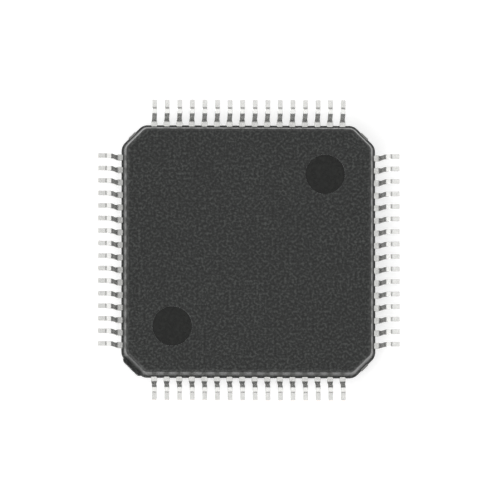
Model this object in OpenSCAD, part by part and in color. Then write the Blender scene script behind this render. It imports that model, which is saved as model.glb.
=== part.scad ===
// Low-profile quad flat package, 64 gull-wing leads at 0.5 mm, 10 mm body.
// The package lies on its marking face with the solder feet up.
// The origin is the centre of the marking face, and +Z points out of the underside.
// A lead is drawn pointing along +Y and turned to its side of the body.

/* [Moulded body] */
// Width of the body at the parting line, both ways
body_w = 10.0; // [9.6:0.05:10.6]
// Thickness of the body, marking face to underside
body_h = 1.40; // [1.3:0.01:1.6]
// Height of the parting line above the marking face
parting_z = 0.70; // [0.65:0.01:0.75]
// Draft of the walls on the underside half, degrees
underside_draft = 12; // [8:1:14]
// Draft of the walls on the marking half, degrees
marking_draft = 12; // [8:1:14]
// Radius of the edge round the underside
underside_edge_r = 0.15; // [0.05:0.01:0.18]
// Radius of the edge round the marking face
marking_edge_r = 0.08; // [0.04:0.01:0.14]
// Length that each corner cut takes off a side
corner_cut = 0.82; // [0.7:0.01:1.0]
// Radius that blends a corner cut into the sides
corner_blend = 0.42; // [0.36:0.01:0.5]
// How far the resin between the leads stands out at the parting line
flash_out = 0.05; // [0.02:0.01:0.08]
// Thickness of that resin, held between the mould halves where they close on the lead frame
flash_t = 0.11; // [0.06:0.01:0.12]

/* [Marks left by the mould] */
// Diameter of the two ejector marks on the underside
ejector_d = 1.58; // [1.2:0.02:1.8]
// Depth of the ejector marks
ejector_depth = 0.05; // [0.02:0.01:0.1]
// Distance of the ejector marks from the centre, both ways
ejector_at = 3.04; // [2.6:0.02:3.4]
// Diameter of the pin 1 dimple in the marking face
dimple_d = 0.80; // [0.6:0.02:1.2]
// Depth of the pin 1 dimple
dimple_depth = 0.08; // [0.04:0.01:0.12]
// Distance of the pin 1 dimple from the centre, both ways
dimple_at = 3.70; // [3.4:0.02:3.9]
// Width of the broken gate on the corner of pin 1
gate_w = 1.00; // [0.6:0.02:1.04]
// Height of the broken gate
gate_h = 0.24; // [0.16:0.01:0.3]
// How far the broken gate stands out past the resin at the parting line
gate_out = 0.10; // [0.02:0.01:0.14]

/* [Leads outside the body] */
// Leads on each side, in groups of four
leads_per_side = 16; // [12:4:16]
// Distance between neighbouring leads
pitch = 0.50; // [0.44:0.01:0.52]
// Thickness of the lead frame strip
strip_t = 0.127; // [0.1:0.001:0.15]
// Reach of the leads past the wall, so 12 mm from tip to tip
lead_reach = 1.00; // [0.96:0.01:1.2]
// Gap between the underside and the plane of the soles
stand_off = 0.10; // [0.05:0.01:0.15]
// Flat length of the sole
sole_l = 0.28; // [0.2:0.01:0.34]
// Angle of the leg from the package plane, degrees
leg_angle = 75; // [72:1:84]
// Inside radius of the shoulder bend
shoulder_r = 0.11; // [0.08:0.01:0.2]
// Inside radius of the heel bend
heel_r = 0.24; // [0.08:0.01:0.26]
// Width of a lead at the foot
foot_w = 0.20; // [0.16:0.01:0.24]
// Width of a lead where it leaves the wall
root_w = 0.215; // [0.18:0.005:0.25]
// Width over the stubs of the cut dam bar
dam_w = 0.265; // [0.255:0.005:0.3]
// Distance from the wall to the dam bar's stubs
dam_from = 0.05; // [0.03:0.01:0.08]
// Length of the dam bar's stubs along the lead
dam_l = 0.13; // [0.08:0.01:0.16]
// Length over which a lead narrows past the stubs
dam_taper = 0.12; // [0.08:0.01:0.2]

/* [Lead frame inside the body] */
// Width of the die pad, both ways
pad_w = 5.40; // [5:0.1:5.6]
// How far the die pad is set from the leads towards the underside
pad_offset = 0.22; // [0.15:0.01:0.26]
// Gap between the die pad and the tips of the leads
tip_gap = 0.30; // [0.2:0.01:0.4]
// Distance between neighbouring tips
tip_pitch = 0.32; // [0.28:0.01:0.34]
// Width of a lead at its tip
tip_w = 0.17; // [0.12:0.01:0.2]
// Straight length of a lead behind the wall, before it fans in
root_l = 0.45; // [0.3:0.01:0.6]
// Width of the tie bars that carry the die pad
tie_w = 0.36; // [0.2:0.01:0.4]
// Flat length of a tie bar at the die pad's corner
tie_flat = 0.12; // [0.05:0.01:0.2]
// Length over which a tie bar climbs to the plane of the leads
tie_climb = 0.35; // [0.25:0.01:0.5]
// How far the cut end of a tie bar stands out of the corner
tie_out = 0.03; // [0.02:0.01:0.06]

/* [Die and its bonding] */
// Width of the die, both ways
die_w = 3.80; // [3.6:0.05:4.2]
// Thickness of the die
die_t = 0.28; // [0.2:0.01:0.3]
// Thickness of the die attach film
attach_t = 0.02; // [0.01:0.005:0.04]
// How far the die attach film shows round the die
attach_rim = 0.06; // [0.02:0.01:0.1]
// Distance between neighbouring bonds on the die
bond_pitch = 0.20; // [0.18:0.005:0.21]
// Distance of the bonds from the die's edge
bond_inset = 0.10; // [0.07:0.01:0.15]
// Distance of the bonds from the tips of the leads
stitch_inset = 0.14; // [0.12:0.01:0.2]
// Diameter of the gold wire
wire_d = 0.025; // [0.02:0.001:0.03]
// Diameter of the flattened ball under each wire
ball_d = 0.060; // [0.05:0.002:0.08]
// Height of the flattened ball
ball_h = 0.012; // [0.008:0.001:0.02]
// Height of the wire loops over the die
loop_h = 0.15; // [0.12:0.01:0.2]
// Radius of the wire's bend over its ball
loop_r = 0.05; // [0.04:0.005:0.07]

/* [Hidden] */
// Faces of the lead frame strip in the plane of the leads
lead_low = parting_z - strip_t / 2;
lead_high = parting_z + strip_t / 2;
// Plane of the soles, which is the part's full height
sole_z = body_h + stand_off;

// Lead profile, in distance from the centre and height
tip_y = body_w / 2 + lead_reach;
heel_y = tip_y - sole_l;
heel_z = sole_z - strip_t - heel_r;
shoulder_z = lead_high + shoulder_r;
// Strip centre line: radii of the two bends, the drop between the flats, and the leg between the bends
heel_mid_r = heel_r + strip_t / 2;
shoulder_mid_r = shoulder_r + strip_t / 2;
drop = sole_z - strip_t / 2 - parting_z;
leg_l = (drop - (heel_mid_r + shoulder_mid_r) * (1 - cos(leg_angle))) / sin(leg_angle);
shoulder_y = heel_y - leg_l * cos(leg_angle) - (heel_mid_r + shoulder_mid_r) * sin(leg_angle);

// Inner ends of the leads
inner_y = pad_w / 2 + tip_gap;
fan_y = body_w / 2 - root_l;

// Die pad, die attach and die, from the underside towards the marking face
pad_low = lead_low + pad_offset;
attach_low = pad_low - attach_t;
die_low = attach_low - die_t;

// Bonds
bond_y = die_w / 2 - bond_inset;
stitch_y = inner_y + stitch_inset;

// Distance from the centre to the flat of a corner cut, at the resin that stands out
corner_flat = (body_w - corner_cut) / sqrt(2) + flash_out;
// Pin 1 is on the corner at -X -Y
PIN_1_TURN = 225;

CURVE_FN = 32;
EDGE_STEPS = 5;
SKIN = 0.001;
WIRE_SIDES = 6;
WIRE_BENDS = 2;

GROUP = 4;
groups = 4 * leads_per_side / GROUP;

function two_digits(n) = n < 10 ? str("0", n) : str(n);
function group_name(kind, g) =
    str(kind, "_", two_digits(g * GROUP + 1), "_", two_digits((g + 1) * GROUP));

// Sideways place of lead i on its side, for a given distance between neighbours
function row_x(i, step) = (i - (leads_per_side - 1) / 2) * step;
// Sideways place of lead i at distance y from the centre, inside the body
function fan_x(i, y) =
    row_x(i, tip_pitch) + (row_x(i, pitch) - row_x(i, tip_pitch)) * (y - inner_y) / (fan_y - inner_y);

// Turns what is drawn along +Y to a side; the pins run clockwise seen from the underside
module on_side(side) {
    rotate([0, 0, 90 * (1 - side)]) children();
}

// Turns what is drawn along +X to a corner
module on_corner(turn) {
    rotate([0, 0, turn]) children();
}

// Outline of the body at the parting line, moved outwards by out
module outline(out) {
    half = body_w / 2;
    cut = half - corner_cut;
    offset(r = max(corner_blend + out, SKIN), $fn = CURVE_FN)
        offset(delta = -corner_blend)
            polygon([
                [cut, half], [half, cut], [half, -cut], [cut, -half],
                [-cut, -half], [-half, -cut], [-half, cut], [-cut, half]
            ]);
}

// One half of the moulding, from the parting line at z 0 up to its face at z h
module mould_half(h, draft, edge_r) {
    centre_h = h - edge_r;
    centre_in = centre_h * tan(draft) + edge_r / cos(draft);
    hull() {
        linear_extrude(SKIN) outline(0);
        for (step = [0 : EDGE_STEPS]) {
            a = draft + (90 - draft) * step / EDGE_STEPS;
            translate([0, 0, centre_h + edge_r * sin(a) - SKIN])
                linear_extrude(SKIN) outline(edge_r * cos(a) - centre_in);
        }
    }
}

module moulding() {
    translate([0, 0, parting_z]) {
        mould_half(body_h - parting_z, underside_draft, underside_edge_r);
        mirror([0, 0, 1]) mould_half(parting_z, marking_draft, marking_edge_r);
        translate([0, 0, -flash_t / 2]) linear_extrude(flash_t) outline(flash_out);
    }
    on_corner(PIN_1_TURN)
        translate([corner_flat - corner_cut / 2, -gate_w / 2, parting_z - gate_h / 2])
            cube([corner_cut / 2 + gate_out, gate_w, gate_h]);
}

// A slice of ring from angle a0, turning by sweep, less than 180 degrees
module ring_slice(inner_r, outer_r, a0, sweep) {
    far = 2 * outer_r;
    intersection() {
        difference() {
            circle(r = outer_r, $fn = CURVE_FN);
            circle(r = inner_r, $fn = CURVE_FN);
        }
        polygon([
            [0, 0],
            [far * cos(a0), far * sin(a0)],
            [far * cos(a0 + sweep / 2), far * sin(a0 + sweep / 2)],
            [far * cos(a0 + sweep), far * sin(a0 + sweep)]
        ]);
    }
}

// Side view of a lead: straight bar, shoulder bend, leg, heel bend, foot
module lead_profile() {
    translate([inner_y, lead_low]) square([shoulder_y - inner_y, strip_t]);
    translate([shoulder_y, shoulder_z]) {
        ring_slice(shoulder_r, shoulder_r + strip_t, -90, leg_angle);
        rotate(leg_angle) translate([0, -shoulder_r - strip_t]) square([leg_l, strip_t]);
    }
    translate([heel_y, heel_z]) ring_slice(heel_r, heel_r + strip_t, 90, leg_angle);
    translate([heel_y, sole_z - strip_t]) square([sole_l, strip_t]);
}

// Plan of lead i: fans out from its tip, swells at the cut dam bar, narrows to the foot
module lead_plan(i) {
    x = row_x(i, pitch);
    wall_y = body_w / 2;
    dam_y = wall_y + dam_from;
    halves = [
        [row_x(i, tip_pitch), inner_y, tip_w / 2],
        [x, fan_y, root_w / 2],
        [x, wall_y, root_w / 2],
        [x, dam_y, dam_w / 2],
        [x, dam_y + dam_l, dam_w / 2],
        [x, dam_y + dam_l + dam_taper, foot_w / 2],
        [x, tip_y, foot_w / 2]
    ];
    last = len(halves) - 1;
    polygon(concat(
        [for (k = [0 : last]) [halves[k][0] + halves[k][2], halves[k][1]]],
        [for (k = [last : -1 : 0]) [halves[k][0] - halves[k][2], halves[k][1]]]
    ));
}

// Leads i0 to i1 of one side, pointing along +Y
module lead_row(i0, i1) {
    intersection() {
        rotate([90, 0, 90]) linear_extrude(body_w, center = true) lead_profile();
        linear_extrude(2 * sole_z) for (i = [i0 : i1]) lead_plan(i);
    }
}

// One tie bar along +X, from under the pad to its cut end in the corner
module tie_bar() {
    corner_x = pad_w / sqrt(2);
    climb_x = corner_x + tie_flat;
    low = [
        [corner_x - tie_w, pad_low],
        [climb_x, pad_low],
        [climb_x + tie_climb, lead_low],
        [corner_flat + tie_out, lead_low]
    ];
    last = len(low) - 1;
    rotate([90, 0, 0]) linear_extrude(tie_w, center = true)
        polygon(concat(low, [for (k = [last : -1 : 0]) low[k] + [0, strip_t]]));
}

module pad_and_ties() {
    translate([-pad_w / 2, -pad_w / 2, pad_low]) cube([pad_w, pad_w, strip_t]);
    for (corner = [0 : 3]) on_corner(45 + 90 * corner) tie_bar();
}

module attach_film() {
    w = die_w + 2 * attach_rim;
    translate([-w / 2, -w / 2, attach_low]) cube([w, w, attach_t]);
}

module silicon() {
    translate([-die_w / 2, -die_w / 2, die_low]) cube([die_w, die_w, die_t]);
}

// Centre line of a wire in its own plane, as [distance, height] over the die's face:
// up from the ball, round the bend, and straight down to the stitch at [span, -fall]
function wire_path(span, fall) =
    let (
        bend = [loop_r, loop_h - loop_r],
        away = [span, -fall] - bend,
        touch = atan2(away[1], away[0]) + acos(loop_r / norm(away))
    )
    concat(
        [[0, ball_h]],
        [for (k = [0 : WIRE_BENDS]) bend + loop_r * heading(180 + (touch - 180) * k / WIRE_BENDS)],
        [[span, -fall]]
    );

function heading(a) = [cos(a), sin(a)];
function unit(v) = v / norm(v);
function right_of(v) = [v[1], -v[0]];
// Half width of a strip along path at its corner k, mitred between its two neighbours
function mitre(path, k, r) =
    let (
        before = right_of(unit(path[k] - path[k - 1])),
        after = right_of(unit(path[k + 1] - path[k]))
    )
    r * (before + after) / (1 + before * after);

module wire(span, fall) {
    r = wire_d / 2;
    path = wire_path(span, fall);
    last = len(path) - 1;
    run = right_of(unit(path[last] - path[last - 1]));
    // The wire starts square on the ball and is cut off level with the lead
    across = concat(
        [[r, 0]],
        [for (k = [1 : last - 1]) mitre(path, k, r)],
        [[r / run[0], 0]]
    );
    ring = [for (j = [0 : WIRE_SIDES - 1]) heading(360 * j / WIRE_SIDES)];
    points = [
        for (k = [0 : last]) for (c = ring)
            [path[k][0] + across[k][0] * c[0], r * c[1], path[k][1] + across[k][1] * c[0]]
    ];
    sides = [
        for (k = [0 : last - 1]) for (j = [0 : WIRE_SIDES - 1])
            let (n = (j + 1) % WIRE_SIDES, a = k * WIRE_SIDES, b = a + WIRE_SIDES)
            [a + j, b + j, b + n, a + n]
    ];
    ends = [
        [for (j = [0 : WIRE_SIDES - 1]) j],
        [for (j = [WIRE_SIDES - 1 : -1 : 0]) last * WIRE_SIDES + j]
    ];
    polyhedron(points, concat(sides, ends));
    cylinder(d = ball_d, h = ball_h, $fn = CURVE_FN);
}

// Wire of lead i of one side, from the die's face to the face of the lead
module seated_wire(i) {
    from = [row_x(i, bond_pitch), bond_y];
    to = [fan_x(i, stitch_y), stitch_y];
    way = to - from;
    translate([from[0], from[1], die_low]) mirror([0, 0, 1])
        rotate([0, 0, atan2(way[1], way[0])]) wire(norm(way), lead_low - die_low);
}

module wire_row(i0, i1) {
    for (i = [i0 : i1]) seated_wire(i);
}

module body() {
    last = leads_per_side - 1;
    color([0.22, 0.225, 0.22]) difference() {
        moulding();
        for (side = [0 : 3]) on_side(side) {
            lead_row(0, last);
            wire_row(0, last);
        }
        pad_and_ties();
        attach_film();
        silicon();
        for (s = [-1, 1])
            translate([s * ejector_at, s * ejector_at, body_h - ejector_depth])
                cylinder(d = ejector_d, h = 2 * ejector_depth, $fn = 2 * CURVE_FN);
        translate([-dimple_at, -dimple_at, -dimple_depth])
            cylinder(d = dimple_d, h = 2 * dimple_depth, $fn = 2 * CURVE_FN);
    }
}

module die_pad() {
    color([0.80, 0.50, 0.33]) pad_and_ties();
}

module die_attach() {
    color([0.72, 0.72, 0.70]) attach_film();
}

module die() {
    color([0.35, 0.37, 0.42]) silicon();
}

function group_side(g) = floor(g * GROUP / leads_per_side);
function group_first(g) = g * GROUP - group_side(g) * leads_per_side;

module lead_group(g) {
    i = group_first(g);
    color([0.78, 0.78, 0.76]) on_side(group_side(g)) lead_row(i, i + GROUP - 1);
}

module wire_group(g) {
    i = group_first(g);
    color([0.92, 0.75, 0.30]) on_side(group_side(g)) wire_row(i, i + GROUP - 1);
}

body();
die_pad();
die_attach();
die();
for (g = [0 : groups - 1]) lead_group(g);
for (g = [0 : groups - 1]) wire_group(g);
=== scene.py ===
"""Low-profile quad flat package lying on its marking face, with the solder feet up: the looks."""
import math
import random

import bpy
from mathutils import Matrix, Vector
from mathutils.geometry import delaunay_2d_cdt

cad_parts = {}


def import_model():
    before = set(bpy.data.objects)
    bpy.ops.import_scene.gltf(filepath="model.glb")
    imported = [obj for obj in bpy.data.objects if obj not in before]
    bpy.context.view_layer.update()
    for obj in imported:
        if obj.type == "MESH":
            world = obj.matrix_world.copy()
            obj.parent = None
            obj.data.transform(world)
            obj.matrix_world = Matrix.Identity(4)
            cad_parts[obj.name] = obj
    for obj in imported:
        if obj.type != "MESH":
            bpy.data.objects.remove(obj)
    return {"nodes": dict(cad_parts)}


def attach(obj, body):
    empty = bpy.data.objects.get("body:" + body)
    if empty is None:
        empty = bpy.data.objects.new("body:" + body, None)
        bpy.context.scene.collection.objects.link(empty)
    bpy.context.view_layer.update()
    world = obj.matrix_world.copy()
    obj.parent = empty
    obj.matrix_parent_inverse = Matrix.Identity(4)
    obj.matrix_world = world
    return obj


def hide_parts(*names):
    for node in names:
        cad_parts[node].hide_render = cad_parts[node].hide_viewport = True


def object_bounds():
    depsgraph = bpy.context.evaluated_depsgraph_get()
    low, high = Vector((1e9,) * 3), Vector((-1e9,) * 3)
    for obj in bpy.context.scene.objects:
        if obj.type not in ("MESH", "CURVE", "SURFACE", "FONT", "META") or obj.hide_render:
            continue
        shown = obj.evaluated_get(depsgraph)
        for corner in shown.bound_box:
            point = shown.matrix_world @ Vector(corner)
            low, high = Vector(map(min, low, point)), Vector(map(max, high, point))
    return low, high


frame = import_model()
cad_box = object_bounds()

MM = 0.001

# ---------------------------------------------------------------- dimensions, in millimetres
SPAN = cad_box[1].x / MM                 # from the centre to the tips of the leads
SOLE_Z = cad_box[1].z / MM               # plane of the soles
BODY_HALF = 5.0                          # half width of the body at the parting line
BODY_H = 1.40                            # height of the underside over the marking face
PARTING_Z = 0.70
DRAFT = math.radians(12)
UNDERSIDE_R = 0.15                       # radius of the edge round the underside
MARKING_R = 0.08                         # radius of the edge round the marking face
CORNER_CUT = 0.82
CORNER_BLEND = 0.42                      # radius where a corner's cut meets the sides
LIP_OUT = 0.05                           # resin that stands out between the leads
LIP_T = 0.11
LIP_RISE = 0.03                          # height over which that resin runs up the wall
LIP_EDGE_R = 0.012
LIP_SUNK = 0.02                          # how far inside the wall that slope starts
LIP_CLEAR = 0.01                         # how far outside the wall it leaves it
GATE_W = 1.00
GATE_H = 0.24
GATE_OUT = 0.10                          # past the resin at the parting line
GATE_DEEP = 0.2                          # how far the stub runs back into the resin

EJECTOR_R = 0.79
EJECTOR_DEPTH = 0.05
EJECTOR_AT = 3.04                        # in x and in y
EJECTOR_RIM_R = 0.025
EJECTOR_FOOT_R = 0.012
EJECTOR_DOME = 0.003
DIMPLE_R = 0.40
DIMPLE_DEPTH = 0.08
DIMPLE_AT = 3.70
DIMPLE_RIM_R = 0.02
DIMPLE_FOOT_R = 0.03

PITCH = 0.50
LEADS_PER_SIDE = 16
GROUP = 4                                # leads in one node
STRIP_T = 0.127
SOLE_L = 0.28
LEG_ANGLE = math.radians(75)
SHOULDER_R = 0.11
HEEL_R = 0.24
TIP_W = 0.17
ROOT_W = 0.215
DAM_W = 0.265
FOOT_W = 0.20
DAM_FROM = 0.05
DAM_L = 0.13
DAM_TAPER = 0.12
INNER_Y = 3.00                           # where a lead starts inside the body
INNER_PITCH = 0.32
FAN_Y = 4.55
STRIP_EDGE_R = 0.018                     # rounding along the strip's edges
# How the soles and the bars at the wall rise outwards on each side, in degrees; two sides are formed
# at a time. The sides are -X, +Y, +X, -Y.
FOOT_TILT = (2.0, 2.5, 2.0, 1.5)
BAR_TILT = (3.0, 0.0, 3.0, 0.0)
# A tip's rings from its end inwards: share of the edge radius taken off, and lean of the normals
NOSE = ((1.0, 3.0), (0.134, 1.0), (0.0, 0.0))
TIE_BAR_FROM = 4.45                      # x and y past which a tie bar is tinned

# Brightness of the screens by the sine of their height, and the overhead lamp as directions x, y
SCREENS = [(0.0, 1.05), (0.86, 1.05), (0.92, 0.18), (1.0, 0.15)]
OVERHEAD = 0.90
OVERHEAD_AT = (0.0, 0.08)
OVERHEAD_HALF = (0.19, 0.21)
FLOOR_LIFT = 0.42                        # what the floor adds of its own where camera or metal sees it


# ---------------------------------------------------------------- mesh helpers
def make_mesh(name, points, faces, normals, materials, face_slots):
    """A smooth object from points in millimetres, with the surface's own normals."""
    mesh = bpy.data.meshes.new(name)
    mesh.from_pydata([[c * MM for c in p] for p in points], [], faces)
    for material in materials:
        mesh.materials.append(material)
    mesh.polygons.foreach_set("material_index", face_slots)
    mesh.shade_smooth()
    mesh.update()
    mesh.normals_split_custom_set_from_vertices([Vector(n).normalized() for n in normals])
    obj = bpy.data.objects.new(name, mesh)
    bpy.context.scene.collection.objects.link(obj)
    return obj


def arc(cx, cy, r, a0, a1, steps):
    """Points on a round stretch, each with its outward angle."""
    out = []
    for k in range(steps + 1):
        a = a0 + (a1 - a0) * k / steps
        out.append((cx + r * math.cos(a), cy + r * math.sin(a), a))
    return out


# ---------------------------------------------------------------- moulded body
ARC_STEPS = 8
SIDE_STEPS = 128
CUT_STEPS = 12


def outline():
    """Places round the body's outline, as (arc centre x, y, outward angle)."""
    near = BODY_HALF - CORNER_BLEND
    far = 2 * BODY_HALF - CORNER_CUT - math.sqrt(2) * CORNER_BLEND - near
    places = []
    for side in range(4):
        turn = side * math.pi / 2
        c, s = math.cos(turn), math.sin(turn)

        def put(x, y, a):
            places.append((c * x - s * y, s * x + c * y, a + turn))

        for k in range(1, SIDE_STEPS):
            put(near, -far + 2 * far * k / SIDE_STEPS, 0.0)
        for k in range(ARC_STEPS + 1):
            put(near, far, math.pi / 4 * k / ARC_STEPS)
        for k in range(1, CUT_STEPS):
            t = k / CUT_STEPS
            put(near + (far - near) * t, far + (near - far) * t, math.pi / 4)
        for k in range(ARC_STEPS + 1):
            put(far, near, math.pi / 4 + math.pi / 4 * k / ARC_STEPS)
    return places


PLACES = outline()


def ring(out, z, slope):
    """One level of the body: its points moved outwards by out, and their normals at that slope."""
    points, normals = [], []
    for x, y, a in PLACES:
        r = CORNER_BLEND + out
        points.append((x + r * math.cos(a), y + r * math.sin(a), z))
        flat = math.cos(slope)
        normals.append((math.cos(a) * flat, math.sin(a) * flat, math.sin(slope)))
    return points, normals


def wall_levels():
    """Levels up the body's side, as (out, z, slope of the normal), from marking face to underside."""
    levels = []

    def half(edge_r, height, sign, steps):
        centre_h = height - edge_r
        centre_in = centre_h * math.tan(DRAFT) + edge_r / math.cos(DRAFT)
        for k in range(steps + 1):
            a = DRAFT + (math.pi / 2 - DRAFT) * k / steps
            out = edge_r * math.cos(a) - centre_in
            yield (out, PARTING_Z + sign * (centre_h + edge_r * math.sin(a)), sign * a)

    levels += list(half(MARKING_R, PARTING_Z, -1, 6))[::-1]
    lip_half = LIP_T / 2
    wall_out = -lip_half * math.tan(DRAFT)
    ease = 0.1
    levels.append((wall_out - LIP_SUNK, PARTING_Z - lip_half - LIP_RISE, -DRAFT - ease))
    levels.append((wall_out + LIP_CLEAR, PARTING_Z - lip_half - LIP_RISE / 3, -math.pi / 4))
    edge_out, edge_z = LIP_OUT - LIP_EDGE_R, lip_half - LIP_EDGE_R
    for o, z, a in arc(edge_out, -edge_z, LIP_EDGE_R, -math.pi / 3, 0, 3):
        levels.append((o, PARTING_Z + z, a))
    for o, z, a in arc(edge_out, edge_z, LIP_EDGE_R, 0, math.pi / 3, 3):
        levels.append((o, PARTING_Z + z, a))
    levels.append((wall_out + LIP_CLEAR, PARTING_Z + lip_half + LIP_RISE / 3, math.pi / 4))
    levels.append((wall_out - LIP_SUNK, PARTING_Z + lip_half + LIP_RISE, DRAFT + ease))
    levels += list(half(UNDERSIDE_R, BODY_H - PARTING_Z, 1, 10))
    return levels


def recess_levels(radius, depth, rim_r, foot_r):
    """Levels down a round recess, as (radius, height over the face, slope of the normal)."""
    levels = arc(radius + rim_r, -rim_r, rim_r, math.pi / 2, math.pi, 4)
    for r, z, a in arc(radius - foot_r, -depth + foot_r, foot_r, 0, -math.pi / 2, 4):
        levels.append((r, z, a + math.pi))
    return levels


RECESS_SIDES = 96


def round_ring(cx, cy, radius, z, slope, up):
    """One level of a round recess; up is 1 in the underside and -1 in the marking face."""
    points, normals = [], []
    flat = math.cos(slope)
    for k in range(RECESS_SIDES):
        a = 2 * math.pi * k / RECESS_SIDES
        points.append((cx + radius * math.cos(a), cy + radius * math.sin(a), z))
        normals.append((math.cos(a) * flat, math.sin(a) * flat, up * math.sin(slope)))
    return points, normals


class Shell:
    """Collects the rings and faces of one piece's mesh."""

    def __init__(self):
        self.points, self.normals, self.faces, self.slots = [], [], [], []

    def add_ring(self, ring_points, ring_normals):
        first = len(self.points)
        self.points += ring_points
        self.normals += ring_normals
        return list(range(first, len(self.points)))

    def face(self, corners, slot=0):
        self.faces.append(corners)
        self.slots.append(slot)

    def bridge(self, low, high, slot=0):
        n = len(low)
        for k in range(n):
            m = (k + 1) % n
            self.face([low[k], low[m], high[m], high[k]], slot)

    def cap(self, loops, up, slot=0):
        """Fills the flat face between an outer loop and round loops in it."""
        verts = [i for loop in loops for i in loop]
        place = {v: k for k, v in enumerate(verts)}
        edges = [(place[a], place[b]) for loop in loops for a, b in zip(loop, loop[1:] + loop[:1])]
        flat = [Vector(self.points[i][:2]) for i in verts]
        found = delaunay_2d_cdt(flat, edges, [], 1, 1e-7)
        holes = [[Vector(self.points[i][:2]) for i in loop] for loop in loops[1:]]
        for tri in found[2]:
            middle = sum((found[0][i] for i in tri), Vector((0, 0))) / 3
            if any(inside(middle, hole) for hole in holes):
                continue
            corners = [verts[found[3][i][0]] for i in tri]
            self.face(corners if up else corners[::-1], slot)

    def make(self, name, materials):
        return make_mesh(name, self.points, self.faces, self.normals, materials, self.slots)


def inside(point, loop):
    """Whether a point lies within a round loop."""
    centre = sum(loop, Vector((0, 0))) / len(loop)
    return (point - centre).length < (loop[0] - centre).length * 0.999


def sink(shell, start, cx, cy, levels, face_z, up, floor_slot, dome):
    """Carries a recess down from its rim loop to a closed floor, whose middle rises by dome."""
    def join(low, high, slot):
        if up > 0:
            shell.bridge(low, high, slot)
        else:
            shell.bridge(high, low, slot)

    loop = start
    for radius, z, slope in levels[1:]:
        nxt = shell.add_ring(*round_ring(cx, cy, radius, face_z + up * z, slope, up))
        join(loop, nxt, 0)
        loop = nxt
    radius, z, _ = levels[-1]
    steps = 6
    for k in range(1, steps):
        share = 1 - k / steps
        height = dome * (1 - share * share)
        tilt = math.atan(2 * dome * share / radius)
        level = face_z + up * (z + height)
        nxt = shell.add_ring(*round_ring(cx, cy, radius * share, level, math.pi / 2 - tilt, up))
        join(loop, nxt, floor_slot)
        loop = nxt
    shell.face(loop if up > 0 else loop[::-1], floor_slot)


def quad_normal(corners):
    """Normal of a quad that may have two corners in one place; None where it has no area."""
    a, b, c, d = (Vector(p) for p in corners)
    for normal in ((b - a).cross(d - a), (c - b).cross(d - b)):
        if normal.length >= 1e-9:
            return tuple(normal)
    return None


def broken_gate(shell):
    """The stub where the gate broke off, on the corner of pin 1: torn, and tapered to its ends."""
    rng = random.Random(7)
    flat = (2 * BODY_HALF - CORNER_CUT) / math.sqrt(2) + LIP_OUT
    d = math.sqrt(0.5)
    across, up = 24, 8
    worn = tear = 0.02
    rows = []
    for j in range(up + 1):
        t = 2 * j / up - 1
        row = []
        for k in range(across + 1):
            u = 2 * k / across - 1
            torn = GATE_OUT * (1 - abs(u) ** 8) - worn * abs(t) ** 4 - rng.uniform(0, tear)
            row.append((flat + torn, u * GATE_W / 2, PARTING_Z + t * GATE_H / 2))
        rows.append(row)
    deep = flat - GATE_DEEP
    first, last = ([(deep, y, z) for _, y, z in row] for row in (rows[0], rows[-1]))
    grid = [[(deep, *row[0][1:])] + row + [(deep, *row[-1][1:])] for row in [first] + rows + [last]]

    def place(p):
        return (-d * p[0] + d * p[1], -d * p[0] - d * p[1], p[2])

    for low, high in zip(grid, grid[1:]):
        for k in range(len(low) - 1):
            corners = [place(p) for p in (low[k], low[k + 1], high[k + 1], high[k])]
            normal = quad_normal(corners)
            if normal:
                shell.face(shell.add_ring(corners, [normal] * 4))


def moulded_body(resin, pin_face):
    """The whole body: walls, both faces with their round recesses, and the gate's stub."""
    shell = Shell()
    loops = [shell.add_ring(*ring(*level)) for level in wall_levels()]
    for low, high in zip(loops, loops[1:]):
        shell.bridge(low, high)
    mark = recess_levels(EJECTOR_R, EJECTOR_DEPTH, EJECTOR_RIM_R, EJECTOR_FOOT_R)
    marks = []
    for at in (-EJECTOR_AT, EJECTOR_AT):
        marks.append((at, shell.add_ring(*round_ring(at, at, mark[0][0], BODY_H, math.pi / 2, 1))))
    shell.cap([loops[-1]] + [loop for _, loop in marks], True)
    for at, loop in marks:
        sink(shell, loop, at, at, mark, BODY_H, 1, 1, EJECTOR_DOME)
    dimple = recess_levels(DIMPLE_R, DIMPLE_DEPTH, DIMPLE_RIM_R, DIMPLE_FOOT_R)
    rim = shell.add_ring(*round_ring(-DIMPLE_AT, -DIMPLE_AT, dimple[0][0], 0.0, math.pi / 2, -1))
    shell.cap([loops[0][::-1], rim], False)
    sink(shell, rim, -DIMPLE_AT, -DIMPLE_AT, dimple, 0.0, -1, 1, 0.0)
    broken_gate(shell)
    return shell.make("moulded_body", [resin, pin_face])


# ---------------------------------------------------------------- leads
def width_at(y):
    """Width of the strip at distance y from the centre, and how fast it grows."""
    dam = BODY_HALF + DAM_FROM
    stops = [
        (INNER_Y, TIP_W), (FAN_Y, ROOT_W), (BODY_HALF, ROOT_W), (dam, DAM_W), (dam + DAM_L, DAM_W),
        (dam + DAM_L + DAM_TAPER, FOOT_W), (SPAN + 1, FOOT_W),
    ]
    for (y0, w0), (y1, w1) in zip(stops, stops[1:]):
        if y <= y1:
            return w0 + (w1 - w0) * (y - y0) / (y1 - y0), (w1 - w0) / (y1 - y0)
    return FOOT_W, 0.0


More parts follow.
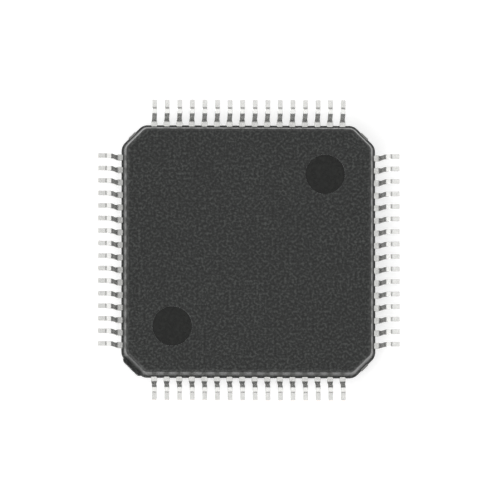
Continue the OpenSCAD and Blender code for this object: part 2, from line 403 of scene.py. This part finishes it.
def lead_path(bar_tilt, foot_tilt):
    """Middle of the strip along a lead, as (distance from the centre, height, slope)."""
    half = STRIP_T / 2
    r1, r2 = SHOULDER_R + half, HEEL_R + half
    end_z = SOLE_Z - half * math.cos(foot_tilt)
    end_y = SPAN - half * math.sin(foot_tilt)
    heel_z = end_z - SOLE_L * math.sin(foot_tilt)
    heel_y = end_y - SOLE_L * math.cos(foot_tilt)
    leg_cos, leg_sin = math.cos(LEG_ANGLE), math.sin(LEG_ANGLE)
    bends_rise = r1 * (math.cos(bar_tilt) - leg_cos) + r2 * (math.cos(foot_tilt) - leg_cos)
    bends_run = r1 * (leg_sin - math.sin(bar_tilt)) + r2 * (leg_sin - math.sin(foot_tilt))
    # the leg's length and the bar's, from the height and the reach that the two bends leave
    high, far = heel_z - PARTING_Z - bends_rise, heel_y - BODY_HALF - bends_run
    turn = math.sin(LEG_ANGLE - bar_tilt)
    leg = (high * math.cos(bar_tilt) - far * math.sin(bar_tilt)) / turn
    bar = (far * leg_sin - high * leg_cos) / turn
    shoulder_y = BODY_HALF + bar * math.cos(bar_tilt)
    shoulder_z = PARTING_Z + bar * math.sin(bar_tilt)
    path = [(INNER_Y, PARTING_Z, 0.0), (FAN_Y, PARTING_Z, 0.0), (BODY_HALF - 0.03, PARTING_Z, 0.0)]
    steps = 22
    for k in range(steps):
        share = k / steps
        y, z = BODY_HALF + (shoulder_y - BODY_HALF) * share, PARTING_Z + (shoulder_z - PARTING_Z) * share
        path.append((y, z, bar_tilt))
    bends = 18
    for k in range(bends + 1):
        a = bar_tilt + (LEG_ANGLE - bar_tilt) * k / bends
        out, up = math.sin(a) - math.sin(bar_tilt), math.cos(bar_tilt) - math.cos(a)
        path.append((shoulder_y + r1 * out, shoulder_z + r1 * up, a))
    y1, z1 = path[-1][:2]
    y0, z0 = y1 + leg * leg_cos, z1 + leg * leg_sin
    for k in (1, 2):
        path.append((y1 + (y0 - y1) * k / 3, z1 + (z0 - z1) * k / 3, LEG_ANGLE))
    cy, cz = y0 + r2 * leg_sin, z0 - r2 * leg_cos
    for k in range(bends + 1):
        a = LEG_ANGLE + (foot_tilt - LEG_ANGLE) * k / bends
        path.append((cy - r2 * math.sin(a), cz + r2 * math.cos(a), a))
    for k in (1, 2, 3):
        path.append((heel_y + (end_y - heel_y) * k / 4, heel_z + (end_z - heel_z) * k / 4, foot_tilt))
    for share in (1.0, 0.5, 0.0):
        back = STRIP_EDGE_R * share
        path.append((end_y - back * math.cos(foot_tilt), end_z - back * math.sin(foot_tilt), foot_tilt))
    return path


def section(half_w, half_t, edge_r):
    """Rounded section of the strip, as (across, through, direction of its normal)."""
    places = []
    for k, (sx, sy) in enumerate(((1, 1), (-1, 1), (-1, -1), (1, -1))):
        cx, cy = sx * (half_w - edge_r), sy * (half_t - edge_r)
        places += arc(cx, cy, edge_r, k * math.pi / 2, (k + 1) * math.pi / 2, 3)
    return places


def lead_mesh(shell, side, i, rng):
    """One lead, drawn towards +Y and turned to its side."""
    x_out = (i - (LEADS_PER_SIDE - 1) / 2) * PITCH
    x_in = (i - (LEADS_PER_SIDE - 1) / 2) * INNER_PITCH
    turn = math.pi / 2 * (1 - side)
    c, s = math.cos(turn), math.sin(turn)
    foot_tilt = math.radians(FOOT_TILT[side]) + rng.uniform(-0.006, 0.006)
    path = lead_path(math.radians(BAR_TILT[side]), foot_tilt)
    sway = rng.uniform(-0.004, 0.004)
    loops = []
    for k, (y, z, a) in enumerate(path):
        width, grow = width_at(y)
        from_end = len(path) - 1 - k
        taken, lean = NOSE[from_end] if from_end < len(NOSE) else (0.0, None)
        shrink = STRIP_EDGE_R * taken
        fan = min(max((y - INNER_Y) / (FAN_Y - INNER_Y), 0), 1)
        x = x_in + (x_out - x_in) * fan + sway * max(0, (y - BODY_HALF) / (SPAN - BODY_HALF))
        points, normals = [], []
        edge_r = STRIP_EDGE_R - 0.9 * shrink
        for across, through, n in section(width / 2 - shrink, STRIP_T / 2 - shrink, edge_r):
            px, py, pz = x + across, y - through * math.sin(a), z + through * math.cos(a)
            nx, nn = math.cos(n), math.sin(n)
            along = -abs(nx) * grow / 2 * math.cos(a) if lean is None else lean
            ny = -nn * math.sin(a) + along * math.cos(a)
            nz = nn * math.cos(a) + along * math.sin(a)
            points.append((c * px - s * py, s * px + c * py, pz))
            normals.append((c * nx - s * ny, s * nx + c * ny, nz))
        loops.append(shell.add_ring(points, normals))
    for low, high in zip(loops, loops[1:]):
        shell.bridge(low[::-1], high[::-1])
    shell.face(loops[0])
    shell.face(loops[-1][::-1], 1)


def lead_group(g, tin, copper):
    """The four leads of one CAD node."""
    first = g * GROUP
    rng = random.Random(100 + g)
    shell = Shell()
    for n in range(first, first + GROUP):
        lead_mesh(shell, n // LEADS_PER_SIDE, n % LEADS_PER_SIDE, rng)
    suffix = f"{first + 1:02d}_{first + GROUP:02d}"
    piece = shell.make(f"formed_leads_{suffix}", [tin, copper])
    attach(piece, "root")
    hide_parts(f"leads_{suffix}")


# ---------------------------------------------------------------- materials
def node_material(name):
    """A material with one shader, its nodes, its links, and coordinates fixed to the object."""
    material = bpy.data.materials.new(name)
    material.use_nodes = True
    nodes, links = material.node_tree.nodes, material.node_tree.links
    nodes.clear()
    out = nodes.new("ShaderNodeOutputMaterial")
    shader = nodes.new("ShaderNodeBsdfPrincipled")
    links.new(shader.outputs[0], out.inputs[0])
    coords = nodes.new("ShaderNodeTexCoord").outputs["Object"]
    return material, nodes, links, shader, coords


def noise(nodes, links, coords, size_mm, detail=2.0, rough=0.5):
    """Noise whose grains are about size_mm across."""
    node = nodes.new("ShaderNodeTexNoise")
    node.inputs["Scale"].default_value = 1 / (size_mm * MM)
    node.inputs["Detail"].default_value = detail
    node.inputs["Roughness"].default_value = rough
    links.new(coords, node.inputs["Vector"])
    return node.outputs["Fac"]


def ramp(nodes, links, value, stops):
    """Colour or grey by value, from (place, grey or colour) stops."""
    node = nodes.new("ShaderNodeValToRGB")
    ends = node.color_ramp.elements
    for k, (place, tone) in enumerate(stops):
        e = ends[k] if k < 2 else ends.new(place)
        e.position = place
        e.color = (*(tone if isinstance(tone, tuple) else (tone,) * 3), 1)
    links.new(value, node.inputs["Fac"])
    return node.outputs["Color"]


def mix(nodes, links, kind, a, b, share=None):
    """Two colours put together, in full or by a share from another node."""
    node = nodes.new("ShaderNodeMix")
    node.data_type = "RGBA"
    node.blend_type = kind
    node.inputs["Factor"].default_value = 1.0
    if share:
        links.new(share, node.inputs["Factor"])
    links.new(a, node.inputs[6])
    links.new(b, node.inputs[7])
    return node.outputs[2]


def math_node(nodes, links, operation, *values):
    """Plain arithmetic; each value is a socket or a number."""
    node = nodes.new("ShaderNodeMath")
    node.operation = operation
    for socket, value in zip(node.inputs, values):
        if isinstance(value, (int, float)):
            socket.default_value = value
        else:
            links.new(value, socket)
    return node.outputs[0]


def bump(nodes, links, height, depth_mm, below=None):
    node = nodes.new("ShaderNodeBump")
    node.inputs["Strength"].default_value = 1.0
    node.inputs["Distance"].default_value = depth_mm * MM
    links.new(height, node.inputs["Height"])
    if below is not None:
        links.new(below, node.inputs["Normal"])
    return node.outputs["Normal"]


def resin_material():
    """Spark-eroded moulding compound: matt, fine grain, glossier at a grazing look."""
    material, nodes, links, shader, coords = node_material("moulding_compound")
    grain = noise(nodes, links, coords, 0.10, 4, 0.6)
    cloud = noise(nodes, links, coords, 0.9, 3)
    dark, middle, light = (0.001, 0.0012, 0.001), (0.010, 0.0112, 0.0104), (0.045, 0.049, 0.046)
    tone = ramp(nodes, links, grain, [(0.38, dark), (0.50, middle), (0.64, light)])
    patch = ramp(nodes, links, cloud, [(0.3, 0.85), (0.7, 1.15)])
    links.new(mix(nodes, links, "MULTIPLY", tone, patch), shader.inputs["Base Color"])
    facing = nodes.new("ShaderNodeLayerWeight")
    facing.inputs["Blend"].default_value = 0.5
    gloss = ramp(nodes, links, facing.outputs["Facing"], [(0.35, 0.50), (0.65, 0.30)])
    links.new(gloss, shader.inputs["Roughness"])
    shader.inputs["IOR"].default_value = 1.55
    shader.inputs["Sheen Weight"].default_value = 0.9
    shader.inputs["Sheen Roughness"].default_value = 0.25
    fine = bump(nodes, links, noise(nodes, links, coords, 0.04, 2), 0.002)
    links.new(bump(nodes, links, grain, 0.006, fine), shader.inputs["Normal"])
    return material


def pin_face_material():
    """Resin moulded against a ground pin: darker, smoother."""
    material, nodes, links, shader, coords = node_material("ejector_face")
    haze = noise(nodes, links, coords, 0.12, 3)
    dark, light = (0.0040, 0.0045, 0.0038), (0.0125, 0.0135, 0.012)
    links.new(ramp(nodes, links, haze, [(0.35, dark), (0.65, light)]), shader.inputs["Base Color"])
    links.new(ramp(nodes, links, haze, [(0.35, 0.26), (0.65, 0.40)]), shader.inputs["Roughness"])
    shader.inputs["IOR"].default_value = 1.55
    shader.inputs["Specular IOR Level"].default_value = 0.38
    links.new(bump(nodes, links, haze, 0.0012), shader.inputs["Normal"])
    return material


def metal(name, low, high, rough_low, rough_high, grain_mm, depth_mm, metallic=1.0):
    """Bare or plated metal, its gloss in broader patches than its colour."""
    material, nodes, links, shader, coords = node_material(name)
    grain = noise(nodes, links, coords, grain_mm, 3)
    links.new(ramp(nodes, links, grain, [(0.3, low), (0.7, high)]), shader.inputs["Base Color"])
    patches = noise(nodes, links, coords, 3 * grain_mm, 2)
    gloss = ramp(nodes, links, patches, [(0.3, rough_low), (0.7, rough_high)])
    links.new(gloss, shader.inputs["Roughness"])
    shader.inputs["Metallic"].default_value = metallic
    links.new(bump(nodes, links, grain, depth_mm), shader.inputs["Normal"])
    return material


COPPER_LOW = (0.66, 0.42, 0.30)
COPPER_HIGH = (0.80, 0.56, 0.42)


def strip_material():
    """The die pad's copper, tinned like the leads where its tie bars come out at the corners."""
    material, nodes, links, shader, coords = node_material("copper_strip")
    grain = noise(nodes, links, coords, 0.05, 3)
    parts = nodes.new("ShaderNodeSeparateXYZ")
    links.new(coords, parts.inputs[0])
    x, y = (math_node(nodes, links, "ABSOLUTE", parts.outputs[axis]) for axis in "XY")
    least = math_node(nodes, links, "MINIMUM", x, y)
    tinned = math_node(nodes, links, "GREATER_THAN", least, TIE_BAR_FROM * MM)
    copper_tone = ramp(nodes, links, grain, [(0.3, COPPER_LOW), (0.7, COPPER_HIGH)])
    tin_tone = ramp(nodes, links, grain, [(0.3, (0.30, 0.30, 0.29)), (0.7, (0.46, 0.46, 0.45))])
    links.new(mix(nodes, links, "MIX", copper_tone, tin_tone, tinned), shader.inputs["Base Color"])
    links.new(ramp(nodes, links, grain, [(0.3, 0.30), (0.7, 0.42)]), shader.inputs["Roughness"])
    shader.inputs["Metallic"].default_value = 1.0
    links.new(bump(nodes, links, grain, 0.001), shader.inputs["Normal"])
    return material


def sealed_material(name, low, high, metallic, rough_low, rough_high, grain_mm):
    """What lies inside the resin: colour and gloss follow one grain."""
    material, nodes, links, shader, coords = node_material(name)
    grain = noise(nodes, links, coords, grain_mm, 3)
    links.new(ramp(nodes, links, grain, [(0.3, low), (0.7, high)]), shader.inputs["Base Color"])
    links.new(ramp(nodes, links, grain, [(0.3, rough_low), (0.7, rough_high)]), shader.inputs["Roughness"])
    shader.inputs["Metallic"].default_value = metallic
    links.new(bump(nodes, links, grain, 0.001), shader.inputs["Normal"])
    return material


# ---------------------------------------------------------------- stage, light and camera
def world():
    """Soft studio surround: a soft lamp overhead, a dim ring round it, bright screens at the sides."""
    made = bpy.data.worlds.new("studio")
    bpy.context.scene.world = made
    made.use_nodes = True
    nodes, links = made.node_tree.nodes, made.node_tree.links
    nodes.clear()
    out = nodes.new("ShaderNodeOutputWorld")
    coords = nodes.new("ShaderNodeTexCoord").outputs["Generated"]
    split = nodes.new("ShaderNodeSeparateXYZ")
    links.new(coords, split.inputs[0])
    screens = ramp(nodes, links, split.outputs["Z"], SCREENS)
    place = nodes.new("ShaderNodeVectorMath")
    place.operation = "SUBTRACT"
    place.inputs[1].default_value = (*OVERHEAD_AT, 1.0)
    links.new(coords, place.inputs[0])
    size = nodes.new("ShaderNodeVectorMath")
    size.operation = "DIVIDE"
    size.inputs[1].default_value = (*OVERHEAD_HALF, 1.0)
    links.new(place.outputs[0], size.inputs[0])
    away = nodes.new("ShaderNodeVectorMath")
    away.operation = "LENGTH"
    links.new(size.outputs[0], away.inputs[0])
    overhead = ramp(nodes, links, away.outputs["Value"], [(0.3, OVERHEAD), (1.0, 0.0)])
    both = mix(nodes, links, "ADD", screens, overhead)
    soft = nodes.new("ShaderNodeBackground")
    links.new(both, soft.inputs["Color"])
    plain = nodes.new("ShaderNodeBackground")
    plain.inputs["Color"].default_value = (1, 1, 1, 1)
    paths = nodes.new("ShaderNodeLightPath")
    choose = nodes.new("ShaderNodeMixShader")
    links.new(paths.outputs["Is Camera Ray"], choose.inputs[0])
    links.new(soft.outputs[0], choose.inputs[1])
    links.new(plain.outputs[0], choose.inputs[2])
    links.new(choose.outputs[0], out.inputs["Surface"])


def floor():
    """Pale floor that keeps the shadow, lifted to white where camera, metal or glass sees it."""
    half = 0.4
    mesh = bpy.data.meshes.new("floor")
    corners = [(-half, -half, 0), (half, -half, 0), (half, half, 0), (-half, half, 0)]
    mesh.from_pydata(corners, [], [(0, 1, 2, 3)])
    obj = bpy.data.objects.new("floor", mesh)
    bpy.context.scene.collection.objects.link(obj)
    obj.location.z = -0.01 * MM
    material = bpy.data.materials.new("pale_floor")
    material.use_nodes = True
    nodes, links = material.node_tree.nodes, material.node_tree.links
    nodes.clear()
    out = nodes.new("ShaderNodeOutputMaterial")
    paper = nodes.new("ShaderNodeBsdfDiffuse")
    paper.inputs["Color"].default_value = (0.82, 0.82, 0.82, 1)
    lift = nodes.new("ShaderNodeEmission")
    lift.inputs["Strength"].default_value = FLOOR_LIFT
    both = nodes.new("ShaderNodeAddShader")
    links.new(paper.outputs[0], both.inputs[0])
    links.new(lift.outputs[0], both.inputs[1])
    paths = nodes.new("ShaderNodeLightPath")
    seen = paths.outputs["Is Camera Ray"]
    for kind in ("Is Glossy Ray", "Is Transmission Ray"):
        seen = math_node(nodes, links, "MAXIMUM", seen, paths.outputs[kind])
    choose = nodes.new("ShaderNodeMixShader")
    links.new(seen, choose.inputs[0])
    links.new(paper.outputs[0], choose.inputs[1])
    links.new(both.outputs[0], choose.inputs[2])
    links.new(choose.outputs[0], out.inputs["Surface"])
    mesh.materials.append(material)


def look_from(azimuth, elevation):
    """Direction towards a place at these degrees, azimuth from -Y and positive towards +X."""
    a, e = math.radians(azimuth), math.radians(elevation)
    return Vector((math.sin(a) * math.cos(e), -math.cos(a) * math.cos(e), math.sin(e)))


def lamp(name, azimuth, elevation, distance_mm, size_mm, level):
    """A square soft lamp; level is the share of full light that it puts on a surface facing it."""
    data = bpy.data.lights.new(name, "AREA")
    data.shape = "SQUARE"
    data.size = size_mm * MM
    d = distance_mm * MM
    data.energy = level * math.pi * math.pi * d * d
    obj = bpy.data.objects.new(name, data)
    bpy.context.scene.collection.objects.link(obj)
    back = look_from(azimuth, elevation)
    obj.location = back * d
    obj.rotation_mode = "QUATERNION"
    obj.rotation_quaternion = back.to_track_quat("Z", "Y")


def camera():
    """Long lens from nearly overhead, a little to the south and west."""
    data = bpy.data.cameras.new("camera")
    data.sensor_width = 36.0
    data.lens = 728.5
    distance = 402.5 * MM
    data.clip_start, data.clip_end = 0.05 * distance, 10 * distance
    obj = bpy.data.objects.new("camera", data)
    bpy.context.scene.collection.objects.link(obj)
    back = look_from(-16.45, 83.756)
    up = (Vector((0, 1, 0)) - back * back.y).normalized()
    right = up.cross(back)
    target = Vector((0.065, 0.066, 0.75)) * MM
    place = target + back * distance
    columns = Matrix(((*right, 0), (*up, 0), (*back, 0), (*place, 1)))
    obj.matrix_world = columns.transposed()
    bpy.context.scene.camera = obj


camera()
world()
floor()
lamp("key", -55, 42, 300, 160, 0.25)

resin = resin_material()
body = moulded_body(resin, pin_face_material())
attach(body, "root")
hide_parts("body")

tin = metal("matt_tin", (0.80, 0.80, 0.78), (0.92, 0.92, 0.90), 0.13, 0.20, 0.04, 0.0012, 0.75)
copper = metal("trimmed_copper", COPPER_LOW, COPPER_HIGH, 0.30, 0.42, 0.02, 0.001)
for g in range(4 * LEADS_PER_SIDE // GROUP):
    lead_group(g, tin, copper)

finishes = {
    "die_pad": strip_material(),
    "die_attach": sealed_material(
        "silver_epoxy", (0.45, 0.45, 0.43), (0.62, 0.62, 0.60), 0.5, 0.5, 0.7, 0.04),
    "die": sealed_material("silicon", (0.16, 0.17, 0.20), (0.22, 0.23, 0.27), 0.3, 0.12, 0.2, 0.2),
}
wire = metal("gold_wire", (0.88, 0.66, 0.26), (0.95, 0.75, 0.34), 0.18, 0.26, 0.02, 0.0005)
for name, node in frame["nodes"].items():
    if name.startswith("wires"):
        finishes[name] = wire
for name, material in finishes.items():
    for slot in frame["nodes"][name].material_slots:
        slot.material = material

bpy.context.scene.view_settings.view_transform = "Standard"
